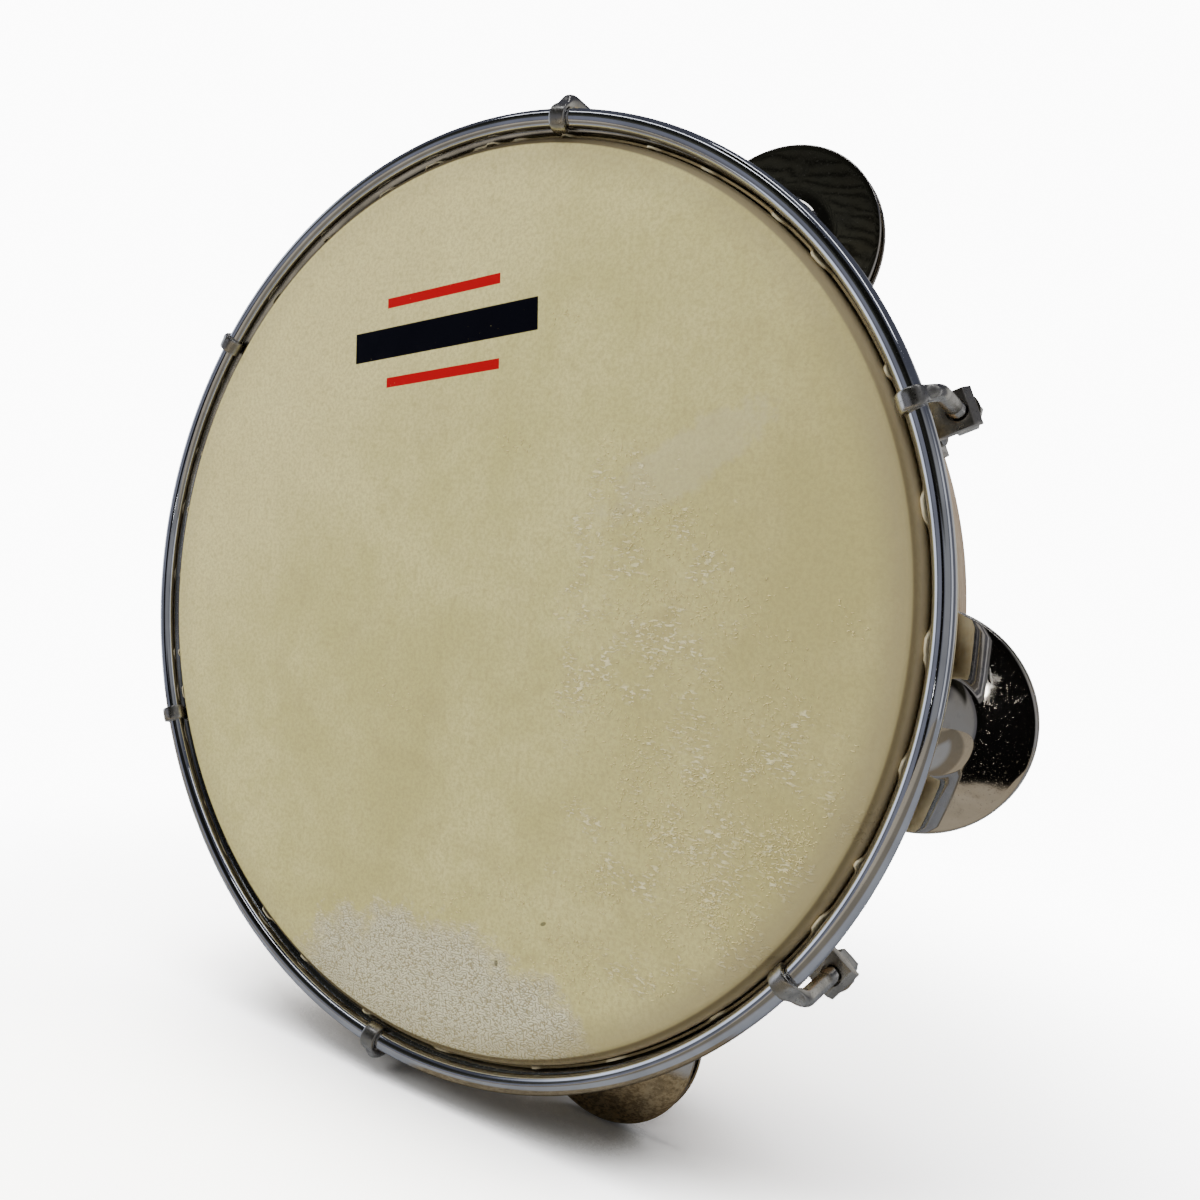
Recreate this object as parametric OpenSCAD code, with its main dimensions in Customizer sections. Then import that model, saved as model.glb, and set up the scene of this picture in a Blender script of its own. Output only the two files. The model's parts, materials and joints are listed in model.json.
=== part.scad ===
// Hand drum with jingles: a wooden shell, a skin head pulled down by a rod hoop and six hooks,
// and five sets of loose jingles in slots around the shell. Millimetres.
// The drum stands on its rim. Its axis is Y and the playing face looks along -Y.
// The origin is the centre of the playing face, +Z is up and +X is to the right seen from the front.
// Around the drum, angles run from +X towards +Z. "Depth" is the distance behind the playing face.

/* [Shell] */
// Outside diameter of the shell
shell_d = 254; // [250:1:260]
// Wall thickness of the shell
shell_wall = 8; // [7:0.5:9]
// Depth of the back edge of the shell behind the playing face
shell_back = 49.6; // [46:0.2:56]
// Rounding of the shell's front outer edge, where the skin turns over it
edge_round = 3; // [2:0.5:4]

/* [Skin] */
// Thickness of the head skin
skin_t = 0.6; // [0.4:0.1:0.8]
// Depth to which the skin runs down the outside of the shell
skirt_back = 13; // [11:0.5:14]
// Depth of the trimmed edge of the skin inside the hoop
lap_front = 3; // [2.5:0.5:5]

/* [Hoop] */
// Diameter of the hoop's front rod
rod_d = 5; // [4.5:0.1:5.2]
// Radius of the rod's centre line
rod_r = 131.7; // [131.5:0.1:132]
// Depth of the rod's centre line
rod_y = 0.4; // [0:0.1:0.8]
// Depth of the back edge of the hoop band
band_back = 10.4; // [9:0.2:11]
// Thickness of the hoop band
band_t = 1.4; // [1:0.1:1.6]

/* [Tension hooks] */
// Number of tension hooks around the drum
hook_count = 6; // [6]
// Angle of the first hook
first_hook = 23.2; // [0:0.1:59]
// Diameter of a hook's shank
shank_d = 4; // [3.6:0.1:4.2]
// Radius of the circle on which the shanks lie
shank_r = 136.8; // [136.5:0.1:137.5]
// Depth of the shank's free end
shank_back = 33; // [31:0.5:36]
// Width of the flat claw that grips the rod
claw_w = 4.8; // [4:0.1:6]
// Thickness of the claw
claw_t = 1.4; // [1.2:0.1:1.5]

/* [Lugs] */
// Width of a lug
lug_w = 9.5; // [8:0.5:11]
// Depth of a lug's front face
lug_front = 20; // [19:0.5:21]
// Depth of the back end of a lug's base
lug_back = 40; // [38:0.5:42]
// Thickness of a lug's metal
lug_t = 2.5; // [2:0.1:3]
// Radius of a lug's outer end
lug_end_r = 141; // [140.5:0.1:142]

/* [Jingles] */
// Diameter of a cupped jingle
jingle_d = 54; // [48:1:56]
// Diameter of the flat damper disc between two jingles
damper_d = 50; // [44:1:52]
// Thickness of the jingle and damper sheet
sheet_t = 0.8; // [0.6:0.1:1]
// Radius of the foot of a jingle's cup
cup_r = 12.5; // [10:0.5:13]
// Height of a jingle, from its open side to the top of its cup
cup_h = 6; // [5:0.1:6.2]
// Free gap between a damper and the jingle on each side of it
jingle_gap = 1.2; // [1:0.1:1.3]
// Diameter of a jingle pin
pin_d = 3; // [2.5:0.1:3.5]
// Radius of the circle on which the pins lie
pin_r = 123.2; // [122.8:0.1:123.4]

/* [Hidden] */
$fn = 96;
// Finer facets for the wide cylinder that a lug's thin base is cut to
shell_fn = 720;
shell_r = shell_d / 2;
shell_in_r = shell_r - shell_wall;
// Gap left between pieces that lie against each other
lie_gap = 0.05;
shell_front = skin_t + lie_gap;
edge_r = shell_r - edge_round;
edge_y = shell_front + edge_round;
skirt_r = shell_r + lie_gap;
rod_half = rod_d / 2;

// The hoop band stands behind the rod, a little further out than the rod's inner side
band_step = 0.35;
band_in_r = rod_r - rod_half + band_step;
// The flesh hoop is the wire on which the edge of the skin is wrapped, just behind the band
wire_d = 3;
wire_step = 0.45;
lap_t = 0.5;
wire_r = band_in_r + wire_step;
lap_out = wire_d / 2 + lie_gap + lap_t;
wire_y = band_back + lie_gap + lap_out;
sleeve_out_r = band_in_r - lie_gap;
sleeve_t = 0.6;

// A hook's claw is an arc about the rod, then a straight run that swells into the neck, and a bend
// into the shank. The run starts to swell once it's clear of the rod
claw_in = rod_half + lie_gap;
claw_mid = claw_in + claw_t / 2;
leave_angle = 35;
bend_r = 4;
claw_tip_y = 1;
run_out = shank_r - rod_r - claw_mid * cos(leave_angle) + bend_r * (1 - cos(leave_angle));
run_len = run_out / sin(leave_angle);
run_start = [rod_r + claw_mid * cos(leave_angle), rod_y - claw_mid * sin(leave_angle)];
run_end = run_start + run_len * [sin(leave_angle), cos(leave_angle)];
bend_end_y = run_end[1] + bend_r * sin(leave_angle);
neck_t = 2.4;
swell_start = 1;
swell_end = 3;
joint_lap = 0.1;

// How far a piece that is cut away, or joined to another, reaches past the surface it meets
over = 1;

// Fasteners: M4 threads are drawn as plain cylinders
running_gap = 0.05;
washer_play = 0.1;
tension_washer_t = 0.8;
tension_washer_d = 9.5;
tension_nut_w = 8;
tension_nut_t = 5;
lug_hole_d = shank_d + 1.2;
washer_y = lug_front + lug_t + lie_gap;
nut_y = washer_y + tension_washer_t + lie_gap;
lug_bevel = 1.5;
lug_base_bevel = 1;
lug_base_r = shell_r + lug_t;
screw_d = 3.9;
screw_hole_d = 4.2;
screw_y = 33.4;
screw_head_d = 7;
screw_head_t = 2;
screw_slot_w = 1;
screw_slot_depth = 1;
// The washer lies on the curved inside of the shell, so its middle stands off by this much
washer_lift = 0.12;
inner_washer_d = 9;
inner_washer_t = 0.8;
inner_washer_r = shell_in_r - washer_lift;
inner_nut_w = 7;
inner_nut_t = 3.2;
inner_nut_r = inner_washer_r - inner_washer_t - lie_gap;

// Five of the six spaces between hooks hold jingles. The hand grips the shell at the free one.
set_count = 5;
space = 360 / hook_count;
free_space = 2;
slot_mid = 25;
slot_half_w = 10;
slot_half_l = 30;
pin_front = 6;
// How far a pin ends below the shell's back edge, and the space before its front end
pin_sink = 0.4;
pin_back = shell_back - pin_sink;
disc_hole_d = 6;
cup_ball_r = (cup_r * cup_r + pow(cup_h - sheet_t, 2)) / (2 * (cup_h - sheet_t));
cup_ball_y = cup_h - cup_ball_r;

// How far each hook and each jingle set sits from its even place around the drum
hook_shift = [0, -2.4, 1.7, 0, 0, 0];
set_shift = [-1.6, -1.4, 0, 0, 0];

function hook_angle(k) = first_hook + (k - 1) * space + hook_shift[k - 1];
// Spaces count from the one just below the first hook, and the free one is left out
function set_angle(k) =
    first_hook - space / 2 + (k - 1 + (k > free_space + 1 ? 1 : 0)) * space + set_shift[k - 1];

// ---- Placing ----

// Turns a piece drawn at +X around the drum to the given angle
module at_angle(a) {
    rotate([0, -a, 0]) children();
}

// Spins a (radius, depth) profile about the drum's axis
module turned() {
    rotate([-90, 0, 0]) rotate_extrude() children();
}

// Round bar parallel to the drum's axis, at radius r on the +X side
module bar_y(r, d, y0, y1) {
    translate([r, y0, 0]) rotate([-90, 0, 0]) cylinder(d = d, h = y1 - y0);
}

// Round bar pointing outwards from the drum's axis, at the given depth
module bar_x(y, d, r0, r1) {
    translate([r0, y, 0]) rotate([0, 90, 0]) cylinder(d = d, h = r1 - r0);
}

// Rectangle between two opposite corners
module box_2d(x0, y0, x1, y1) {
    translate([x0, y0]) square([x1 - x0, y1 - y0]);
}

// ---- Shell and skin ----

module shell_profile() {
    box_2d(shell_in_r, edge_y, shell_r, shell_back);
    box_2d(shell_in_r, shell_front, edge_r, edge_y + over);
    intersection() {
        translate([edge_r, edge_y]) circle(r = edge_round);
        box_2d(edge_r - over, shell_front, shell_r, edge_y + over);
    }
}

// Opening through the wall in which a set of jingles hangs
module jingle_slot() {
    straight = slot_half_l - slot_half_w;
    // Reaches in far enough to pass through the curved wall at the slot's ends too
    cut_start = shell_in_r - 1.5 * shell_wall;
    translate([cut_start, slot_mid, 0]) rotate([0, 90, 0]) linear_extrude(height = 3 * shell_wall) {
        square([2 * straight, 2 * slot_half_w], center = true);
        translate([straight, 0]) circle(r = slot_half_w);
        translate([-straight, 0]) circle(r = slot_half_w);
    }
}

module shell() {
    color("burlywood") difference() {
        turned() shell_profile();
        for (k = [1 : set_count]) at_angle(set_angle(k)) {
            jingle_slot();
            bar_y(pin_r, pin_d + 2 * running_gap, pin_front - pin_sink, shell_back + over);
        }
        for (k = [1 : hook_count]) at_angle(hook_angle(k))
            bar_x(screw_y, screw_hole_d, shell_in_r - over, shell_r + over);
    }
}

module head_skin_profile() {
    box_2d(0, 0, edge_r, skin_t);
    box_2d(skirt_r, edge_y, skirt_r + skin_t, skirt_back);
    intersection() {
        translate([edge_r, edge_y]) difference() {
            circle(r = edge_round + lie_gap + skin_t);
            circle(r = edge_round + lie_gap);
        }
        box_2d(edge_r, 0, skirt_r + skin_t, edge_y);
    }
}

module head_skin() {
    color("wheat") turned() head_skin_profile();
}

// Edge of the skin: wrapped around the flesh hoop and standing up inside the band
module skin_lap() {
    color("tan") turned() difference() {
        union() {
            translate([wire_r, wire_y]) circle(r = lap_out);
            box_2d(sleeve_out_r - sleeve_t, lap_front, sleeve_out_r, wire_y);
        }
        translate([wire_r, wire_y]) circle(r = lap_out - lap_t);
    }
}

module flesh_hoop() {
    color("gray") turned() translate([wire_r, wire_y]) circle(d = wire_d);
}

// ---- Hoop ----

module hoop_band() {
    color("silver") turned() difference() {
        box_2d(band_in_r, rod_y, band_in_r + band_t, band_back);
        translate([rod_r, rod_y]) circle(d = rod_d + 2 * lie_gap);
    }
}

module hoop_rod() {
    color("gainsboro") turned() translate([rod_r, rod_y]) circle(d = rod_d);
}

// ---- Tension hooks ----

// Part of a ring between two angles, each under half a turn from the other
module ring_part(r0, r1, a0, a1) {
    far = 3 * r1;
    intersection() {
        difference() {
            circle(r = r1);
            circle(r = r0);
        }
        polygon([[0, 0], far * [cos(a0), sin(a0)],
                 far * [cos((a0 + a1) / 2), sin((a0 + a1) / 2)], far * [cos(a1), sin(a1)]]);
    }
}

// Side view of the claw: over the rod from inside to outside, then out to the shank
module claw_profile() {
    translate([rod_r, rod_y]) ring_part(claw_in, claw_in + claw_t, 180, 360 - leave_angle);
    box_2d(rod_r - claw_in - claw_t, rod_y, rod_r - claw_in, claw_tip_y);
    translate(run_start) rotate(90 - leave_angle) polygon([
        [-joint_lap, -claw_t / 2], [run_len + joint_lap, -claw_t / 2],
        [run_len + joint_lap, neck_t - claw_t / 2], [swell_end, neck_t - claw_t / 2],
        [swell_start, claw_t / 2], [-joint_lap, claw_t / 2]
    ]);
    translate([shank_r + bend_r, bend_end_y])
        ring_part(bend_r - claw_t / 2, bend_r + neck_t - claw_t / 2, 180, 180 + leave_angle);
}

module tension_hook(k) {
    color("silver") at_angle(hook_angle(k)) {
        linear_extrude(height = claw_w, center = true) claw_profile();
        bar_y(shank_r, shank_d, bend_end_y - shank_d / 2, shank_back);
    }
}

// ---- Lugs and fasteners ----

module lug_profile() {
    inside = shell_r - 2 * over;
    polygon([
        [inside, lug_front],
        [lug_end_r - lug_bevel, lug_front],
        [lug_end_r, lug_front + lug_bevel],
        [lug_end_r, lug_front + lug_t],
        [lug_base_r, lug_front + lug_t],
        [lug_base_r, lug_back - lug_base_bevel],
        [lug_base_r - lug_base_bevel, lug_back],
        [inside, lug_back]
    ]);
}

module lug(k) {
    color("darkgray") difference() {
        at_angle(hook_angle(k)) difference() {
            linear_extrude(height = lug_w, center = true) lug_profile();
            bar_y(shank_r, lug_hole_d, lug_front - over, lug_front + lug_t + over);
            bar_x(screw_y, screw_hole_d, shell_r - 3 * over, lug_base_r + over);
        }
        bar_y(0, 2 * (shell_r + lie_gap), lug_front - over, lug_back + over, $fn = shell_fn);
    }
}

module tension_washers() {
    color("darkgray") for (k = [1 : hook_count]) at_angle(hook_angle(k)) difference() {
        bar_y(shank_r, tension_washer_d, washer_y, washer_y + tension_washer_t);
        bar_y(shank_r, shank_d + 2 * washer_play, washer_y - over, washer_y + tension_washer_t + over);
    }
}

// Hexagon nut of width w across its flats, lying along the Z axis
module hex_nut(w, t, hole_d) {
    difference() {
        cylinder(d = w / cos(30), h = t, $fn = 6);
        translate([0, 0, -over]) cylinder(d = hole_d, h = t + 2 * over);
    }
}

module tension_nut(k) {
    color("silver") at_angle(hook_angle(k)) translate([shank_r, nut_y, 0]) rotate([-90, 0, 0])
        hex_nut(tension_nut_w, tension_nut_t, shank_d + 2 * running_gap);
}

module lug_screws() {
    head_r = lug_base_r + lie_gap;
    color("silver") for (k = [1 : hook_count]) at_angle(hook_angle(k)) {
        bar_x(screw_y, screw_d, inner_nut_r - inner_nut_t - over, head_r + screw_head_t / 4);
        difference() {
            bar_x(screw_y, screw_head_d, head_r, head_r + screw_head_t);
            translate([head_r + screw_head_t, screw_y, 0])
                cube([2 * screw_slot_depth, screw_slot_w, screw_head_d + over], center = true);
        }
    }
}

module lug_screw_washers() {
    color("darkgray") for (k = [1 : hook_count]) at_angle(hook_angle(k)) difference() {
        bar_x(screw_y, inner_washer_d, inner_washer_r - inner_washer_t, inner_washer_r);
        bar_x(screw_y, screw_hole_d, inner_washer_r - inner_washer_t - over, inner_washer_r + over);
    }
}

module lug_screw_nuts() {
    color("silver") for (k = [1 : hook_count]) at_angle(hook_angle(k))
        translate([inner_nut_r - inner_nut_t, screw_y, 0]) rotate([0, 90, 0])
            hex_nut(inner_nut_w, inner_nut_t, screw_d + 2 * running_gap);
}

// ---- Jingles ----

// Cupped disc: a flat brim with a domed cup in its middle, pierced for the pin
module jingle_profile() {
    far = jingle_d;
    intersection() {
        difference() {
            union() {
                translate([0, cup_ball_y]) circle(r = cup_ball_r);
                box_2d(0, 0, jingle_d / 2, sheet_t);
            }
            translate([0, cup_ball_y]) circle(r = cup_ball_r - sheet_t);
        }
        box_2d(disc_hole_d / 2, 0, far, far);
    }
}

module jingle_pin(k) {
    color("silver") at_angle(set_angle(k)) bar_y(pin_r, pin_d, pin_front, pin_back);
}

module jingle_damper(k) {
    y0 = slot_mid - sheet_t / 2;
    color("lightgray") at_angle(set_angle(k)) difference() {
        bar_y(pin_r, damper_d, y0, y0 + sheet_t);
        bar_y(pin_r, disc_hole_d, y0 - over, y0 + sheet_t + over);
    }
}

// One jingle with its cup facing the head (side -1) or the back of the drum (side 1)
module jingle(k, side) {
    color("gainsboro") at_angle(set_angle(k))
        translate([pin_r, slot_mid + side * (sheet_t / 2 + jingle_gap), 0])
            rotate([-90 * side, 0, 0]) rotate_extrude() jingle_profile();
}

shell();
head_skin();
skin_lap();
flesh_hoop();
hoop_band();
hoop_rod();
tension_hook(1);  // tension_hook_1
tension_hook(2);  // tension_hook_2
tension_hook(3);  // tension_hook_3
tension_hook(4);  // tension_hook_4
tension_hook(5);  // tension_hook_5
tension_hook(6);  // tension_hook_6
lug(1);  // lug_1
lug(2);  // lug_2
lug(3);  // lug_3
lug(4);  // lug_4
lug(5);  // lug_5
lug(6);  // lug_6
tension_nut(1);  // tension_nut_1
tension_nut(2);  // tension_nut_2
tension_nut(3);  // tension_nut_3
tension_nut(4);  // tension_nut_4
tension_nut(5);  // tension_nut_5
tension_nut(6);  // tension_nut_6
tension_washers();
lug_screws();
lug_screw_washers();
lug_screw_nuts();
jingle_pin(1);  // jingle_pin_1
jingle_pin(2);  // jingle_pin_2
jingle_pin(3);  // jingle_pin_3
jingle_pin(4);  // jingle_pin_4
jingle_pin(5);  // jingle_pin_5
jingle(1, -1);  // jingle_front_1
jingle(2, -1);  // jingle_front_2
jingle(3, -1);  // jingle_front_3
jingle(4, -1);  // jingle_front_4
jingle(5, -1);  // jingle_front_5
jingle_damper(1);  // jingle_damper_1
jingle_damper(2);  // jingle_damper_2
jingle_damper(3);  // jingle_damper_3
jingle_damper(4);  // jingle_damper_4
jingle_damper(5);  // jingle_damper_5
jingle(1, 1);  // jingle_back_1
jingle(2, 1);  // jingle_back_2
jingle(3, 1);  // jingle_back_3
jingle(4, 1);  // jingle_back_4
jingle(5, 1);  // jingle_back_5
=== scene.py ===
"""Looks of a hand drum with jingles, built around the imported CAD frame.

Metres, +Z up, the playing face looks along -Y and the drum's axis is Y."""
import json
import random
from math import atan2, copysign, cos, hypot, pi, radians, sin, sqrt

import bmesh
import bpy
from mathutils import Matrix, Vector, noise


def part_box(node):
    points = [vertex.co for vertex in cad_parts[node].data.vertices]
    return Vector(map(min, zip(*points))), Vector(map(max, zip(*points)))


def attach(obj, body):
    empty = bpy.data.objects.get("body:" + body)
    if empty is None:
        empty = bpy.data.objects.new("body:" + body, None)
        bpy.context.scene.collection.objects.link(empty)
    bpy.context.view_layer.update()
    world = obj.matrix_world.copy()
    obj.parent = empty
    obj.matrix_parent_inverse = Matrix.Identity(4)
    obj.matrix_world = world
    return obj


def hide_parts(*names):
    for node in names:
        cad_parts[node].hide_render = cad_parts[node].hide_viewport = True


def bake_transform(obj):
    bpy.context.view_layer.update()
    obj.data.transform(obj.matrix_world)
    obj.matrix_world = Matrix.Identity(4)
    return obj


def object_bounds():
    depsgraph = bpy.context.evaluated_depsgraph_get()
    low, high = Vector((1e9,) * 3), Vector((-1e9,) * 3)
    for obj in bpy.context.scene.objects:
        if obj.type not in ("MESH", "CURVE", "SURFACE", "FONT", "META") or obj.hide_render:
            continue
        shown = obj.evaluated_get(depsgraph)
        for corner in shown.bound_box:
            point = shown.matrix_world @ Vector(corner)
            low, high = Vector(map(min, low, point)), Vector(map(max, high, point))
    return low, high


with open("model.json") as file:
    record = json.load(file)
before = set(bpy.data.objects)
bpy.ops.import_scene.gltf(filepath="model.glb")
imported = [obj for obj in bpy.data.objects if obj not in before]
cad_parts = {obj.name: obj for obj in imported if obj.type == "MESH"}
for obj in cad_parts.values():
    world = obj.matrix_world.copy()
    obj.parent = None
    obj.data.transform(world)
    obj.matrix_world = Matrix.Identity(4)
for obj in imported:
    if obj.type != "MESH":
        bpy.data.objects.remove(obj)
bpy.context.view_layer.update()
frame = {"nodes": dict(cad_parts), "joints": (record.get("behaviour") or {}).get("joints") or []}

MM = 0.001


# -------------------- sizes, from the frame where it has them

def extent(node, axis):
    """Size of a CAD node's box along an axis."""
    low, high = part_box(node)
    return high[axis] - low[axis]


def front_of(node):
    """Depth of a node's front side, which looks along -Y."""
    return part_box(node)[0].y


def back_of(node):
    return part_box(node)[1].y


def ring_radius(node):
    """Outer radius of a round node that is centred on the drum's axis."""
    return extent(node, 0) / 2


def joint(name):
    return next(j for j in frame["joints"] if j["name"] == name)


def joint_angle(name):
    x, _, z = joint(name)["pos_m"]
    return atan2(z, x)


def joint_radius(name):
    x, _, z = joint(name)["pos_m"]
    return hypot(x, z)


HOOKS = 6
SETS = 5
hook_angles = [joint_angle(f"nut_{k}_turn") for k in range(1, HOOKS + 1)]
set_angles = [joint_angle(f"jingle_{k}_spin") for k in range(1, SETS + 1)]
shank_r = joint_radius("nut_1_turn")
pin_r = joint_radius("jingle_1_spin")

shell_r = ring_radius("shell")
shell_front = front_of("shell")
shell_back = back_of("shell")
shell_wall = 8 * MM
edge_round = 3 * MM
face_r = shell_r - edge_round

rod_half = extent("hoop_rod", 1) / 2
rod_r = ring_radius("hoop_rod") - rod_half
rod_y = front_of("hoop_rod") + rod_half
band_out = ring_radius("hoop_band")
band_back = back_of("hoop_band")
band_t = 1.4 * MM
band_in = band_out - band_t
wire_half = extent("flesh_hoop", 1) / 2
wire_r = ring_radius("flesh_hoop") - wire_half
wire_y = front_of("flesh_hoop") + wire_half
lap_half = ring_radius("skin_lap") - wire_r
skin_t = 0.6 * MM

slot_mid = joint("jingle_1_spin")["pos_m"][1]
slot_half_w = 10 * MM
slot_half_l = 30 * MM

hook_sides = 32
shank_half = 2 * MM
thread_pitch = 0.7 * MM
thread_depth = 0.30 * MM
lug_front = front_of("lug_1")
lug_back = back_of("lug_1")
lug_end = 141 * MM
lug_t = 2.5 * MM
lug_half_w = 4.75 * MM
screw_y = 33.4 * MM
screw_inner_r = 113.8 * MM
washer_bore = 2.1 * MM
washer_t = 0.8 * MM

jingle_rim = 27 * MM
disc_hole = 3 * MM
disc_t = 0.8 * MM
disc_gap = 1.2 * MM
pin_half = 1.5 * MM
pin_hole = 1.56 * MM


# -------------------- mesh helpers

def link(name, data):
    """A new object in the scene."""
    obj = bpy.data.objects.new(name, data)
    bpy.context.scene.collection.objects.link(obj)
    return obj


def new_object(name, verts, faces, material):
    """A smooth-shaded mesh piece with one material, its faces turned outwards."""
    mesh = bpy.data.meshes.new(name)
    mesh.from_pydata([tuple(v) for v in verts], [], faces)
    mesh.update()
    bm = bmesh.new()
    bm.from_mesh(mesh)
    bmesh.ops.recalc_face_normals(bm, faces=bm.faces)
    bm.to_mesh(mesh)
    bm.free()
    mesh.polygons.foreach_set("use_smooth", [True] * len(mesh.polygons))
    mesh.materials.append(material)
    return link(name, mesh)


def ring_faces(rings, count, closed):
    """Quads between rings of count vertices each. closed joins the last ring to the first."""
    faces = []
    for i in range(rings if closed else rings - 1):
        a, b = i * count, (i + 1) % rings * count
        faces += [(a + c, b + c, b + (c + 1) % count, a + (c + 1) % count) for c in range(count)]
    return faces


def full_turn(count):
    """Evenly spaced angles around a circle."""
    return [2 * pi * k / count for k in range(count)]


def turned(r, y, angle):
    """The point at a radius, depth and angle about the drum's axis."""
    return r * cos(angle), y, r * sin(angle)


def lathe(name, profile, material, segments=360, shape=None):
    """Spins a closed (radius, depth) loop about the drum's axis. shape(r, y, angle) may bend each point."""
    verts = []
    for angle in full_turn(segments):
        for r, y in profile:
            if shape:
                r, y = shape(r, y, angle)
            verts.append(turned(r, y, angle))
    return new_object(name, verts, ring_faces(segments, len(profile), True), material)


def loft(name, rings, material):
    """Joins rings of points into a closed tube with flat ends."""
    count = len(rings[0])
    verts = [p for ring in rings for p in ring]
    faces = ring_faces(len(rings), count, False)
    faces.append(tuple(range(count)))
    faces.append(tuple(range(len(verts) - count, len(verts))))
    return new_object(name, verts, faces, material)


x_to_y = Matrix.Rotation(radians(90), 4, "Z")


def around(angle):
    """Turns a piece drawn at +X around the drum's axis to the given angle, from +X towards +Z."""
    return Matrix.Rotation(-angle, 4, "Y")


def beside(angle, r, y):
    """Carries a piece from the origin to a radius and depth at an angle around the drum."""
    return around(angle) @ Matrix.Translation((r, y, 0))


def put(obj, matrix):
    obj.data.transform(matrix)
    return obj


def circle_loop(cx, cy, radius, count):
    """A closed loop of points on a circle in the (radius, depth) plane."""
    return [(cx + radius * cos(a), cy + radius * sin(a)) for a in full_turn(count)]


def arc(cx, cy, radius, start, end, count):
    """Points on an arc in degrees, both ends included."""
    steps = [radians(start + (end - start) * k / count) for k in range(count + 1)]
    return [(cx + radius * cos(a), cy + radius * sin(a)) for a in steps]


def bake_modifiers(obj):
    """Replaces the mesh with the result of its modifiers."""
    bpy.context.view_layer.update()
    evaluated = obj.evaluated_get(bpy.context.evaluated_depsgraph_get())
    mesh = bpy.data.meshes.new_from_object(evaluated)
    obj.modifiers.clear()
    obj.data = mesh
    return obj


def bevel(obj, width, segments, angle):
    """Rounds edges that are sharper than an angle in degrees."""
    modifier = obj.modifiers.new("bevel", "BEVEL")
    modifier.width = width
    modifier.segments = segments
    modifier.limit_method = "ANGLE"
    modifier.angle_limit = radians(angle)
    return obj


def cut(obj, cutters):
    """Cuts the other objects out of obj and deletes them."""
    for cutter in cutters:
        modifier = obj.modifiers.new("cut", "BOOLEAN")
        modifier.object = cutter
        modifier.operation = "DIFFERENCE"
        modifier.solver = "EXACT"
    bake_modifiers(obj)
    for cutter in cutters:
        bpy.data.objects.remove(cutter)
    return obj


def mark_sharp(obj, degrees):
    """Smooth shading with creases where faces meet at more than an angle."""
    bm = bmesh.new()
    bm.from_mesh(obj.data)
    limit = radians(degrees)
    for edge in bm.edges:
        edge.smooth = len(edge.link_faces) == 2 and edge.calc_face_angle(pi) < limit
    for face in bm.faces:
        face.smooth = True
    bm.to_mesh(obj.data)
    bm.free()


def finish(obj, sharp, slot, body, *nodes):
    """Creases a piece at sharp angles and puts it on a body, in place of the CAD nodes. The slot is not used.
    """
    if sharp:
        mark_sharp(obj, sharp)
    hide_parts(*nodes)
    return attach(obj, body)


# -------------------- material helpers

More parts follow.
